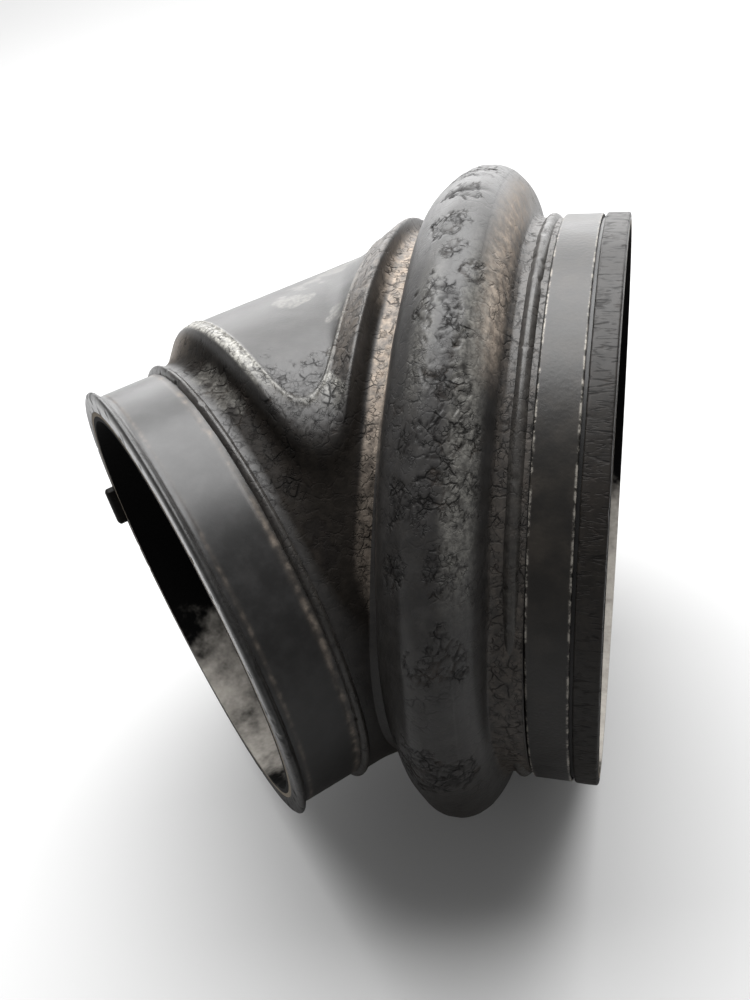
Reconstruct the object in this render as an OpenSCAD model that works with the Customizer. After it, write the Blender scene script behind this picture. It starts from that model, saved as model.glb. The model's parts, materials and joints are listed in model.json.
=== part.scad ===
// Rubber expansion joint: a 45 degree reducing elbow with one arch.
// The origin is the centre of the large mouth's end face. +X points out of the large mouth
// along its axis, +Z is up, and the small end turns towards -Y. The object lies on its side.

/* [Large end] */
// Bore of the large end, to fit a 203 mm spigot
large_bore_d = 203; // [202:0.1:204]
// Outside diameter of the large cuff at its end wrap
large_end_d = 215; // [214.6:0.1:215.4]
// Outside diameter of the cuff beside the arch
large_root_d = 212; // [211.6:0.1:212.4]
// Length of the wrap at the large mouth
end_wrap_length = 8.2; // [7:0.1:8.6]
// Width of the steel band
band_width = 13.2; // [12:0.1:13.6]
// Distance from the large mouth to the steel band
band_offset = 9.4; // [9.2:0.1:9.8]
// Thickness of the steel band
band_thickness = 1.4; // [1.2:0.1:1.6]
// Distance from the large mouth to the ridge beside the arch
ridge_offset = 27; // [26:0.1:28]

/* [Arch] */
// Distance from the large mouth to the arch's middle plane
arch_offset = 50.3; // [50:0.1:50.6]
// Half the arch's outside width
arch_half_width = 18.2; // [18:0.1:18.4]
// Radius at which the arch's round top begins
arch_spring_r = 107.2; // [107:0.1:107.4]
// Thickness of the arch's wall
arch_wall = 6; // [5.8:0.1:6.2]
// Half the width of the stiff ring at the arch's top
crown_half_width = 7; // [6:0.5:8]

/* [Elbow] */
// Distance from the large mouth to the point where the two axes meet
pivot_offset = 80.1; // [79.8:0.1:80.4]
// Angle between the two axes
bend_angle = 45; // [44:0.5:46]
// Outside diameter of the stub between the arch and the bend
stub_d = 202; // [201:0.5:203]
// Bore of the stub
stub_bore_d = 190; // [189:0.5:191]
// Outside diameter of the neck around the small axis
neck_d = 170; // [169:0.5:171]

/* [Small end] */
// Bore of the small end, to fit a 152 mm spigot
small_bore_d = 152.4; // [151.4:0.1:153.4]
// Bore behind the shoulder that stops the small spigot
throat_d = 150; // [149:0.5:150.5]
// Distance from the pivot to the small mouth, along the small axis
small_mouth = 104; // [103:0.5:105]
// Depth of the small bore, from its mouth to its shoulder
small_bore_depth = 44; // [40:1:46]
// Outside diameter of the small clamp seat
small_seat_d = 166.8; // [166.4:0.1:167.2]
// Outside diameter of the bead at the small mouth
mouth_bead_d = 173.6; // [172.8:0.1:174.4]
// Outside diameter of the bead that stops the small clamp
stop_bead_d = 172.2; // [171.4:0.1:172.6]
// Distance from the pivot to the middle of the stop bead
stop_bead_at = 77.3; // [77:0.1:77.8]
// Width of each bead
bead_width = 3; // [2.6:0.1:3.4]

/* [Wedge pad] */
// Outside diameter of the pad around the small axis
pad_d = 190.8; // [190:0.2:192]
// Outside diameter of the pad's rim around the large axis
pad_rim_d = 216.6; // [216:0.2:217.4]
// Distance from the pivot to the pad's wall beside the small cuff
pad_wall_at = 62; // [61:0.5:63]
// Distance from the large mouth to the pad's wall beside the arch
pad_rim_offset = 79.5; // [79.2:0.1:80]
// Length of the ramp that climbs to the rim
pad_ramp = 17; // [15:0.5:19]
// Radius of the pad's rounded points
pad_point_r = 10; // [9:0.5:11]
// Width of the border around the sunk panel
panel_border = 5; // [4:0.5:6]
// Depth of the panel's recess
panel_recess = 2; // [1.5:0.1:2.4]
// Thickness of the panel
panel_thickness = 1.3; // [1:0.1:1.4]

/* [Layers] */
// Thickness of the inner tube
liner_thickness = 1.8; // [1.7:0.1:1.9]
// Thickness of the fabric plies
plies_thickness = 1.6; // [1.5:0.1:1.7]
// Wire diameter of each body ring
ring_wire_d = 2.6; // [2.4:0.1:2.8]

/* [Hidden] */
$fn = 96;

large_bore_r = large_bore_d / 2;
large_root_r = large_root_d / 2;
large_end_r = large_end_d / 2;
band_r = large_end_r - 0.2;
liner_r = large_bore_r + liner_thickness;
plies_r = liner_r + plies_thickness;
arch_x = -arch_offset;
arch_in = arch_half_width - arch_wall;
arch_liner = arch_in + liner_thickness;
arch_plies = arch_liner + plies_thickness;
// The arch stands on the stub and on the collar at these radii
left_foot_r = 104;
right_foot_r = arch_spring_r - 0.2;
left_foot_x = arch_x - arch_half_width;
left_leg_x = arch_x - arch_in;
right_leg_x = arch_x + arch_in;
right_foot_x = arch_x + arch_half_width;
pivot_x = -pivot_offset;
stub_r = stub_d / 2;
neck_r = neck_d / 2;
seat_r = small_seat_d / 2;
// How far the stub runs past the pivot, inside and out
stub_end_x = pivot_x - 2.9;
stub_bore_end_x = pivot_x + 3.1;
bore_shoulder = small_mouth - small_bore_depth;
throat_wall = (small_bore_d - throat_d) / 2;
// The circle in the pad's rounded points is this much larger, so that it crosses both walls
point_overlap = 0.05;
// A size larger than the whole object, for cutting shapes
beyond = 300;
inside_elbow = 120;
lug_width = 18;
lug_reach = 4;
lug_grip = 2.5;
lug_angle = 3.5;

module on_small_axis() {
    translate([pivot_x, 0, 0]) rotate([0, 0, bend_angle]) rotate([0, -90, 0]) children();
}

module small_tube(r, s0, s1) {
    on_small_axis() translate([0, 0, s0]) cylinder(r = r, h = s1 - s0);
}

module main_tube(r, x0, x1) {
    translate([x0, 0, 0]) rotate([0, 90, 0]) cylinder(r = r, h = x1 - x0);
}

// A profile drawn as [radius, distance] is turned around the large axis
module around_main() {
    rotate([0, 90, 0]) rotate_extrude($fn = 128) children();
}

module around_small() {
    on_small_axis() rotate_extrude($fn = 128) children();
}

// The elbow's shape at one depth of its wall: the small tube runs into the stub
module elbow_form(r_small, r_main, s_end, stub_to) {
    intersection() {
        small_tube(r_small, -inside_elbow, s_end);
        union() {
            main_tube(r_main, -beyond, left_leg_x);
            translate([-beyond, -beyond, -beyond]) cube([beyond + left_foot_x, beyond, 2 * beyond]);
        }
    }
    main_tube(r_main, stub_to, left_leg_x);
}

module bore_form(extra) {
    elbow_form(throat_d / 2 + extra, stub_bore_d / 2 + extra, small_mouth + 1, stub_bore_end_x - extra);
}

module liner_form() {
    bore_form(throat_wall + liner_thickness);
}

module plies_form() {
    bore_form(throat_wall + liner_thickness + plies_thickness);
}

module cover_form() {
    elbow_form(neck_r, stub_r, stop_bead_at - bead_width / 2, stub_end_x);
    small_tube(seat_r, stop_bead_at - bead_width / 2, small_mouth);
    main_tube(left_foot_r, left_foot_x, left_leg_x);
}

// Everything beyond the small mouth, or inside the arch
module past_the_ends() {
    small_tube(beyond / 2, small_mouth, beyond);
    main_tube(beyond / 2, left_leg_x, beyond);
}

module elbow_bore() {
    bore_form(0);
    small_tube(small_bore_d / 2, bore_shoulder, small_mouth + 1);
    main_tube(stub_bore_d / 2, stub_bore_end_x, left_leg_x + 1);
}

module body_ring(x, r) {
    around_main() translate([r, x]) circle(d = ring_wire_d, $fn = 32);
}

left_ring_x = (left_foot_x + left_leg_x) / 2;
left_ring_r = 101;
right_ring_x = (right_leg_x + right_foot_x) / 2;
right_ring_r = right_foot_r - ring_wire_d / 2 - 0.1;

module left_body_ring() {
    color("slategray") body_ring(left_ring_x, left_ring_r);
}

module right_body_ring() {
    color("slategray") body_ring(right_ring_x, right_ring_r);
}

module elbow_liner() {
    color("dimgray") difference() {
        liner_form();
        elbow_bore();
        past_the_ends();
    }
}

module elbow_plies() {
    color("tan") difference() {
        plies_form();
        liner_form();
        past_the_ends();
    }
}

module elbow_cover() {
    color([0.13, 0.13, 0.13]) difference() {
        cover_form();
        plies_form();
        past_the_ends();
        body_ring(left_ring_x, left_ring_r);
    }
}

// A rounded bead standing on the small clamp seat
module seat_bead(at, outside_r) {
    round_r = bead_width / 2;
    around_small() {
        translate([seat_r, at - round_r]) square([outside_r - round_r - seat_r, bead_width]);
        translate([outside_r - round_r, at]) circle(r = round_r, $fn = 32);
    }
}

module small_mouth_bead() {
    color([0.1, 0.1, 0.1]) difference() {
        seat_bead(small_mouth - bead_width / 2, mouth_bead_d / 2);
        small_tube(seat_r, small_mouth - 2 * bead_width, small_mouth + 1);
    }
}

module small_stop_bead() {
    color([0.1, 0.1, 0.1]) difference() {
        seat_bead(stop_bead_at, stop_bead_d / 2);
        small_tube(seat_r, stop_bead_at - bead_width, stop_bead_at + bead_width);
    }
}

// The tab that stands out of the small mouth on the outside of the bend
module locating_lug() {
    color([0.16, 0.16, 0.16]) on_small_axis() rotate([0, 0, lug_angle])
        translate([-lug_width / 2, seat_r - lug_grip, small_mouth])
            cube([lug_width, 2 * lug_grip, lug_reach]);
}

// The pad's outline seen from above: two straight walls that meet in a rounded point.
// inset moves both walls inwards and keeps them parallel to themselves.
module pad_outline(inset) {
    wall = pad_wall_at - inset;
    rim_x = -pad_rim_offset - inset;
    // where the two walls would meet in a sharp corner
    corner_y = -(wall + (rim_x - pivot_x) * cos(bend_angle)) / sin(bend_angle);
    round_r = pad_point_r - inset / 2;
    half = bend_angle / 2;
    to_centre = round_r / sin(half);
    along = round_r / tan(half);
    linear_extrude(height = 2 * beyond, center = true) translate([rim_x, corner_y]) difference() {
        polygon([[0, 0], [-sin(bend_angle) * beyond, cos(bend_angle) * beyond], [0, beyond]]);
        difference() {
            polygon([
                [1, -3],
                [1, along],
                [-sin(half) * to_centre, cos(half) * to_centre],
                [-sin(bend_angle) * along - cos(bend_angle), cos(bend_angle) * along - sin(bend_angle)]
            ]);
            translate([-sin(half) * to_centre, cos(half) * to_centre])
                circle(r = round_r + point_overlap, $fn = 64);
        }
    }
}

// The pad's outer surface, lowered by depth: the small tube's round and a ramp up to the rim
module pad_form(depth) {
    intersection() {
        small_tube(pad_d / 2 - depth, -inside_elbow, pad_wall_at + 1);
        union() {
            main_tube(pad_rim_d / 2 - depth, -beyond, left_foot_x);
            translate([-beyond, -beyond, -beyond]) cube([2 * beyond, beyond, 2 * beyond]);
        }
    }
    translate([-pad_rim_offset - pad_ramp, 0, 0]) rotate([0, 90, 0])
        cylinder(r1 = pad_d / 2 - depth, r2 = pad_rim_d / 2 - depth, h = pad_ramp, $fn = 128);
}

module wedge_pad() {
    color([0.17, 0.17, 0.17]) difference() {
        intersection() {
            pad_form(0);
            pad_outline(0);
        }
        difference() {
            pad_outline(panel_border);
            pad_form(panel_recess);
            main_tube(beyond / 2, -pad_rim_offset - pad_ramp, beyond);
        }
        cover_form();
    }
}

module pad_panel() {
    color([0.2, 0.2, 0.2]) difference() {
        intersection() {
            pad_form(panel_recess - panel_thickness);
            pad_outline(panel_border + 0.3);
        }
        pad_form(panel_recess);
        main_tube(beyond / 2, -pad_rim_offset - pad_ramp, beyond);
    }
}

// The arch's section, out to one distance from its middle line
module arch_section(half_width, foot_r) {
    translate([arch_spring_r, arch_x]) circle(r = half_width, $fn = 128);
    translate([foot_r, arch_x - half_width]) square([arch_spring_r - foot_r, 2 * half_width]);
}

// One layer of the arch's wall between two planes across the large axis
module arch_layer(inner, outer, x0, x1, foot_r) {
    around_main() intersection() {
        difference() {
            arch_section(outer, foot_r);
            arch_section(inner, foot_r - 1);
        }
        translate([foot_r, x0]) square([beyond, x1 - x0]);
    }
}

crown_left_x = arch_x - crown_half_width;
crown_right_x = arch_x + crown_half_width;

module left_flank(inner, outer) {
    arch_layer(inner, outer, left_foot_x - 1, crown_left_x, left_foot_r);
}

module crown(inner, outer) {
    arch_layer(inner, outer, crown_left_x, crown_right_x, left_foot_r);
}

module right_flank(inner, outer) {
    arch_layer(inner, outer, crown_right_x, right_foot_x + 1, right_foot_r);
}

module left_flank_liner() {
    color("dimgray") left_flank(arch_in, arch_liner);
}

module left_flank_plies() {
    color("tan") left_flank(arch_liner, arch_plies);
}

module left_flank_cover() {
    color([0.14, 0.14, 0.14]) left_flank(arch_plies, arch_half_width);
}

module crown_liner() {
    color("dimgray") crown(arch_in, arch_liner);
}

module crown_plies() {
    color("tan") crown(arch_liner, arch_plies);
}

module crown_cover() {
    color([0.16, 0.16, 0.16]) crown(arch_plies, arch_half_width);
}

module right_flank_liner() {
    color("dimgray") right_flank(arch_in, arch_liner);
}

module right_flank_plies() {
    color("tan") right_flank(arch_liner, arch_plies);
}

module right_flank_cover() {
    color([0.14, 0.14, 0.14]) right_flank(arch_plies, arch_half_width);
}

// A plain ring around the large axis
module ring(r_in, r_out, x0, x1) {
    around_main() translate([r_in, x0]) square([r_out - r_in, x1 - x0]);
}

band_left_x = -band_offset - band_width;
band_right_x = -band_offset;

module collar_liner() {
    color("dimgray") ring(large_bore_r, liner_r, right_leg_x, 0);
}

module collar_plies() {
    color("tan") difference() {
        ring(liner_r, plies_r, right_leg_x, 0);
        body_ring(right_ring_x, right_ring_r);
    }
}

module collar_cover() {
    color([0.13, 0.13, 0.13]) difference() {
        union() {
            ring(plies_r, right_foot_r, right_leg_x, right_foot_x);
            ring(plies_r, large_root_r, right_leg_x, band_left_x - 0.2);
            ring(plies_r, band_r - band_thickness, band_left_x - 0.2, 0);
        }
        body_ring(right_ring_x, right_ring_r);
    }
}

module ridge_bead() {
    height = large_end_r + 0.5 - large_root_r;
    color([0.1, 0.1, 0.1]) around_main() intersection() {
        translate([large_root_r, -ridge_offset]) circle(r = height, $fn = 32);
        translate([large_root_r, -ridge_offset - height]) square([height, 2 * height]);
    }
}

module clamp_band() {
    color([0.22, 0.21, 0.2]) ring(band_r - band_thickness, band_r, band_left_x, band_right_x);
}

module large_end_wrap() {
    color([0.14, 0.14, 0.14]) ring(band_r - band_thickness, large_end_r, -end_wrap_length, 0);
}

elbow_liner();
elbow_plies();
elbow_cover();
small_mouth_bead();
small_stop_bead();
wedge_pad();
pad_panel();
locating_lug();
left_body_ring();
left_flank_liner();
left_flank_plies();
left_flank_cover();
crown_liner();
crown_plies();
crown_cover();
right_flank_liner();
right_flank_plies();
right_flank_cover();
collar_liner();
collar_plies();
collar_cover();
ridge_bead();
clamp_band();
large_end_wrap();
right_body_ring();
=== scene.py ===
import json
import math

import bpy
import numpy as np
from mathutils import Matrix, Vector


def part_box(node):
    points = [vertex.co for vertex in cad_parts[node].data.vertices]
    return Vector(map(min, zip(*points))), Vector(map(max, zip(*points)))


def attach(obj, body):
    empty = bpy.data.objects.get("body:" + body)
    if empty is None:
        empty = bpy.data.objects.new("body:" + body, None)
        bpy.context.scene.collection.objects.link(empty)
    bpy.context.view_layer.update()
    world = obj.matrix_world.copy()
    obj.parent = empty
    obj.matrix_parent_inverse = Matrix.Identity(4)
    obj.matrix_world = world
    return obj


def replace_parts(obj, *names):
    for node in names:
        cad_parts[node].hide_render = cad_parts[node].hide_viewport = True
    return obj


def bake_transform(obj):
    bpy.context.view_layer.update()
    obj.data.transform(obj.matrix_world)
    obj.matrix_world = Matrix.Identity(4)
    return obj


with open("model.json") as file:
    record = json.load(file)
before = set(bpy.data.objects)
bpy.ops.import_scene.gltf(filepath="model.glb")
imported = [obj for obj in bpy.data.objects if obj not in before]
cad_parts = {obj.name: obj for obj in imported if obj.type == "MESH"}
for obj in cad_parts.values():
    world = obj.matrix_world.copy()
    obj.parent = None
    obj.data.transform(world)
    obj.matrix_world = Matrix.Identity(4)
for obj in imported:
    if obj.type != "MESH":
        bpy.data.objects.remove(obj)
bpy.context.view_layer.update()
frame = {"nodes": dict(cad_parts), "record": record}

# %% [markdown]
# # A 45 degree reducing rubber expansion joint, aged in storage
#
# The part is a moulded rubber elbow, about 220 mm across, with one arch that lets it give.
# It lies on its side on a pale floor. The looks are built in the same frame as the solids:
# millimetres while the shapes are worked out, metres once they become meshes.
#
# The outer rubber is one continuous skin, made on a single net of points that runs from the small
# cuff, over the elbow and the arch, to the steel band. It is cut into pieces only where a joint of the
# arch needs it, so that neighbouring pieces share their edge points and their shading.

MM = 0.001


def span(node):
    """Lowest and highest corner of a solid, in millimetres."""
    low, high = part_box(node)
    return np.array(low) / MM, np.array(high) / MM


small_bore = next(m for m in frame["record"]["mounts"] if m["name"] == "small_cuff_bore")
small_mouth_centre = np.array(small_bore["pos_m"]) / MM
to_small = np.array(small_bore["axis"])
# The large cuff's axis is y = 0, so the small one's crosses it at the pivot of the bend.
small_mouth = small_mouth_centre[1] / to_small[1]
pivot = small_mouth_centre - to_small * small_mouth
outward = np.array([to_small[1], -to_small[0], 0.0])
up = np.array([0.0, 0.0, 1.0])
crest_r = span("crown_cover")[1][2]
band_left, band_right = span("clamp_band")[0][0], span("clamp_band")[1][0]
band_r = span("clamp_band")[1][2]
ridge_x = (span("ridge_bead")[0][0] + span("ridge_bead")[1][0]) / 2
crest_x = (span("crown_cover")[0][0] + span("crown_cover")[1][0]) / 2
arch_left, arch_right = span("left_flank_cover")[0][0], span("right_flank_cover")[1][0]
print("pivot", pivot.round(1), "small mouth at", round(small_mouth, 1), "crest", round(crest_r, 1))

# %% [markdown]
# ## Noise for dents and flakes
# Rubber that has aged in the sun cracks into small plates whose edges lift. The plates are worked
# out with a cell pattern, and soft noise says where they are. Both are plain arithmetic on a point's
# place, so a piece always comes out the same.

# %% Noise on points
def scatter(ix, iy, iz, seed):
    """A number from 0 to 1 for each whole-numbered place. The large numbers only stir its bits."""
    h = (ix * 73856093) ^ (iy * 19349663) ^ (iz * 83492791) ^ (seed * 2654435761 % 4294967296)
    h = (h & 0xFFFFFFFF).astype(np.uint64)
    h = ((h ^ (h >> 15)) * 2246822519) & 0xFFFFFFFF
    h = ((h ^ (h >> 13)) * 3266489917) & 0xFFFFFFFF
    return ((h ^ (h >> 16)) & 0xFFFFFF).astype(float) / 0xFFFFFF


def soft_noise(p, size, seed):
    """Smooth noise from -1 to 1 with lumps of this size."""
    q = p / size
    base = np.floor(q).astype(np.int64)
    f = q - base
    f = f * f * (3 - 2 * f)
    total = np.zeros(p.shape[:-1])
    for dx in (0, 1):
        for dy in (0, 1):
            for dz in (0, 1):
                weight = (
                    (f[..., 0] if dx else 1 - f[..., 0])
                    * (f[..., 1] if dy else 1 - f[..., 1])
                    * (f[..., 2] if dz else 1 - f[..., 2])
                )
                corner = base + np.array([dx, dy, dz])
                total += weight * scatter(corner[..., 0], corner[..., 1], corner[..., 2], seed)
    return total * 2 - 1


def plates(p, size, seed):
    """Cells of this size: distance to the nearest edge, a number for each cell and its plate's tilt."""
    q = p / size
    base = np.floor(q).astype(np.int64)
    near = np.full(p.shape[:-1], 9.0)
    second = near.copy()
    own = np.zeros(p.shape[:-1])
    tilt = np.zeros(p.shape[:-1])
    for dx in (-1, 0, 1):
        for dy in (-1, 0, 1):
            for dz in (-1, 0, 1):
                cx, cy, cz = base[..., 0] + dx, base[..., 1] + dy, base[..., 2] + dz
                gx = q[..., 0] - cx - scatter(cx, cy, cz, seed)
                gy = q[..., 1] - cy - scatter(cx, cy, cz, seed + 1)
                gz = q[..., 2] - cz - scatter(cx, cy, cz, seed + 2)
                d = gx**2 + gy**2 + gz**2
                closer = d < near
                second = np.where(closer, near, np.minimum(second, d))
                number = scatter(cx, cy, cz, seed + 3)
                way = 6.283 * number  # a whole turn, in radians
                lean = gx * np.cos(way) + (gz - gy) * 0.7 * np.sin(way)
                own = np.where(closer, number, own)
                tilt = np.where(closer, lean, tilt)
                near = np.where(closer, d, near)
    return (np.sqrt(second) - np.sqrt(near)) * size / 2, own, tilt * size


def ease(x, low, high):
    """0 below low, 1 above high, and a smooth rise between them."""
    t = np.clip((x - low) / (high - low), 0, 1)
    return t * t * (3 - 2 * t)


def between(x, rise_from, rise_to, fall_from, fall_to):
    """A smooth rise from 0 to 1 over the first stretch, and a fall back over the second."""
    return ease(x, rise_from, rise_to) * (1 - ease(x, fall_from, fall_to))


# %% [markdown]
# ## Meshes from nets of points
# Each piece is a net of rows. The rows run round the part, and follow a closed loop across the wall, out
# over the visible surface and back along the hidden one, so every piece is a closed solid.

# %% Nets to pieces
def facing(net, around=True):
    """The direction the net faces at each of its points."""
    down = np.gradient(net, axis=0)
    if around:
        across = np.roll(net, -1, 1) - np.roll(net, 1, 1)
    else:
        across = np.gradient(net, axis=1)
    n = np.cross(down, across)
    return n / np.maximum(np.linalg.norm(n, axis=-1, keepdims=True), 1e-9)


def outward_facing(net, outside):
    """The same, turned over if need be to the side that outside points to."""
    n = facing(net)
    return n if (n * outside).sum() > 0 else -n


def piece(name, rows, material, body=None, normals=None, around=True, marks=None):
    """A closed mesh from rows of points in millimetres.

    normals and marks hold values for the first rows, the visible ones. A piece that doesn't run all the
    way round has around=False, and a flat face closes each of its two ends.
    """
    rows = np.asarray(rows, float)
    count, across = rows.shape[:2]
    index = np.arange(count * across).reshape(count, across)
    below = np.roll(index, -1, 0)
    if around:
        quads = np.stack([index, below, np.roll(below, -1, 1), np.roll(index, -1, 1)], -1).reshape(-1, 4)
    else:
        quads = np.stack([index[:, :-1], below[:, :-1], below[:, 1:], index[:, 1:]], -1).reshape(-1, 4)
    flat = rows.reshape(-1, 3)
    a, b, c, d = (flat[quads[:, k]] for k in range(4))
    turned = np.einsum("ij,ij->i", a - flat.mean(0), np.cross(c - a, d - b)).sum() < 0
    looped = np.concatenate([rows[-1:], rows, rows[:1]])
    own = facing(looped, around)[1:-1]
    if turned:
        quads = quads[:, ::-1]
        own = -own
    if normals is not None:
        own[: len(normals)] = normals
    sides = [] if around else [index[:, 0][::-1], index[:, -1]]
    if turned:
        sides = [s[::-1] for s in sides]
    mesh = bpy.data.meshes.new(name)
    mesh.vertices.add(len(flat))
    mesh.vertices.foreach_set("co", (flat * MM).astype(np.float32).ravel())
    loops = np.concatenate([quads.ravel()] + [s.ravel() for s in sides])
    starts = np.concatenate([np.arange(len(quads)) * 4, len(quads) * 4 + count * np.arange(len(sides))])
    mesh.loops.add(len(loops))
    mesh.loops.foreach_set("vertex_index", loops.astype(np.int32))
    mesh.polygons.add(len(starts))
    mesh.polygons.foreach_set("loop_start", starts.astype(np.int32))
    mesh.update(calc_edges=True)
    mesh.polygons.foreach_set("use_smooth", np.ones(len(starts), bool))
    mesh.normals_split_custom_set_from_vertices(own.reshape(-1, 3).astype(np.float32))
    rest = mesh.attributes.new("rest_place", "FLOAT_VECTOR", "POINT")
    rest.data.foreach_set("vector", (flat * MM).astype(np.float32).ravel())
    for mark, value in (marks or {}).items():
        layer = mesh.attributes.new(mark, "FLOAT", "POINT")
        full = np.zeros((count, across))
        full[: len(value)] = value
        layer.data.foreach_set("value", full.astype(np.float32).ravel())
    mesh.materials.append(material)
    made = bpy.data.objects.new(name, mesh)
    bpy.context.scene.collection.objects.link(made)
    if body:
        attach(made, body)
    print(name, count, "x", across)
    return made


def turn(profile, columns, along, side, centre):
    """Turns (distance, radius) points round an axis."""
    profile = np.asarray(profile, float)
    angle = np.linspace(0, 2 * math.pi, columns, endpoint=False)
    spoke = np.cos(angle)[:, None] * side + np.sin(angle)[:, None] * up
    return centre + profile[:, 0, None, None] * along + profile[:, 1, None, None] * spoke


def turn_main(profile, columns):
    """Turns (x, radius) points round the large cuff's axis."""
    return turn(profile, columns, np.array([1.0, 0, 0]), np.array([0, 1.0, 0]), np.zeros(3))


def turn_small(profile, columns):
    """Turns (distance from the pivot, radius) points round the small cuff's axis."""
    return turn(profile, columns, to_small, outward, pivot)


def even(points, step):
    """Points at about even steps along a line of corner points."""
    points = np.asarray(points, float)
    lengths = np.r_[0, np.cumsum(np.linalg.norm(np.diff(points, axis=0), axis=1))]
    count = max(3, int(round(lengths[-1] / step)) + 1)
    at = np.linspace(0, lengths[-1], count)
    return np.stack([np.interp(at, lengths, points[:, k]) for k in range(points.shape[1])], 1)


def smoothed(line, passes):
    """The line with its corners rounded; its two ends stay where they are."""
    line = line.copy()
    for _ in range(passes):
        line[1:-1] = (line[:-2] + 2 * line[1:-1] + line[2:]) / 4
    return line


# %% [markdown]
# ## Shading sums
# A material works out its colour, roughness and relief with nodes, which are hard to read when there are
# many. A small wrapper lets them be written as sums instead: each operator adds its own node.

# %% Shading sums
class Field:
    """A value, colour or vector that varies over a surface."""

    def __init__(self, tree, socket):
        self.tree, self.socket = tree, socket

    def make(self, kind, inputs=(), output=0, **settings):
        node = self.tree.nodes.new(kind)
        for key, value in settings.items():
            setattr(node, key, value)
        for key, value in dict(inputs).items():
            if isinstance(value, Field):
                self.tree.links.new(value.socket, node.inputs[key])
            elif value is not None:
                node.inputs[key].default_value = value
        return Field(self.tree, node.outputs[output])

    def is_vector(self):
        return self.socket.type == "VECTOR"

    def sum_with(self, op, other, swap=False):
        vector = self.is_vector() or (isinstance(other, Field) and other.is_vector())
        a, b = (other, self) if swap else (self, other)
        if vector:
            a, b = (v if isinstance(v, Field) or np.ndim(v) else (v, v, v) for v in (a, b))
            return self.make("ShaderNodeVectorMath", {0: a, 1: b}, operation=op)
        return self.make("ShaderNodeMath", {0: a, 1: b}, operation=op)

    def __add__(self, other):
        return self.sum_with("ADD", other)

    __radd__ = __add__

    def __sub__(self, other):
        return self.sum_with("SUBTRACT", other)

    def __rsub__(self, other):
        return self.sum_with("SUBTRACT", other, swap=True)

    def __mul__(self, other):
        return self.sum_with("MULTIPLY", other)

    __rmul__ = __mul__

    def over(self, low, high):
        """0 below low, 1 above high, smooth between."""
        return self.make(
            "ShaderNodeMapRange",
            {"Value": self, "From Min": low, "From Max": high},
            interpolation_type="SMOOTHSTEP",
        )

    def most(self, other):
        return self.sum_with("MAXIMUM", other)

    def least(self, other):
        return self.sum_with("MINIMUM", other)

    def dot(self, direction):
        return self.make("ShaderNodeVectorMath", {0: self, 1: direction}, output=1, operation="DOT_PRODUCT")

    def noise(self, per_mm, detail=2.0, rough=0.5):
        return self.make(
            "ShaderNodeTexNoise", {"Vector": self, "Scale": per_mm, "Detail": detail, "Roughness": rough}
        )

    def crack_lines(self, per_mm):
        """Distance to the nearest edge of a cell pattern."""
        return self.make(
            "ShaderNodeTexVoronoi", {"Vector": self, "Scale": per_mm}, feature="DISTANCE_TO_EDGE"
        )

    def wander(self, per_mm, by):
        """This place, shifted by noise, so that straight patterns bend."""
        shift = self.make("ShaderNodeTexNoise", {"Vector": self, "Scale": per_mm, "Detail": 2.0}, output=1)
        shift = shift.make("ShaderNodeVectorMath", {0: shift, 1: (0.5, 0.5, 0.5)}, operation="SUBTRACT")
        return self + shift * by

    def blend(self, low, high):
        """The colour low where this is 0 and high where it is 1. Sockets 6 and 7 are the node's colours."""
        low, high = (c if isinstance(c, Field) else (*c, 1) for c in (low, high))
        return self.make("ShaderNodeMix", {"Factor": self, 6: low, 7: high}, output=2, data_type="RGBA")


def new_material(name):
    """A material, its shader and a reader of the marks on a mesh."""
    material = bpy.data.materials.new(name)
    material.use_nodes = True
    tree = material.node_tree

    def mark(name, output=2):
        node = tree.nodes.new("ShaderNodeAttribute")
        node.attribute_name = name
        return Field(tree, node.outputs[output])

    return material, tree.nodes["Principled BSDF"], mark


dull_ior = 1.14


def finish_with(
    shader, colour, roughness, bump=None, bump_mm=0.3, metallic=None, ior=1.34, bloom=None, satin=0.35
):
    """Feeds the shader. bloom is where a satin coat lies; the rubber under it hardly reflects."""
    tree = shader.id_data
    shader.inputs["IOR"].default_value = ior if bloom is None else dull_ior
    shader.inputs["Coat IOR"].default_value = ior
    shader.inputs["Coat Roughness"].default_value = satin
    fed = {"Base Color": colour, "Roughness": roughness, "Metallic": metallic, "Coat Weight": bloom}
    for name, value in fed.items():
        if isinstance(value, Field):
            tree.links.new(value.socket, shader.inputs[name])
        elif value is not None:
            shader.inputs[name].default_value = (*value, 1) if name == "Base Color" else value
    if bump is not None:
        node = tree.nodes.new("ShaderNodeBump")
        node.inputs["Distance"].default_value = bump_mm * MM
        node.inputs["Strength"].default_value = 1.0
        tree.links.new(bump.socket, node.inputs["Height"])
        tree.links.new(node.outputs[0], shader.inputs["Normal"])


def place_mm(mark):
    """Where a point is when the arch is at rest, so that a texture stays with the rubber as it bends."""
    return mark("rest_place", 1) * (1 / MM)


def solid_place_mm(tree):
    """Where a point of a plain solid is, which has no rest place of its own."""
    node = tree.nodes.new("ShaderNodeTexCoord")
    return Field(tree, node.outputs["Object"]) * (1 / MM)


def lowness(place):
    """0 high up and 1 low down. The outside of the bend counts as a little lower."""
    return 1 - place.dot((0.0, -0.30, 1.0)).over(-10, 115)
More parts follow.
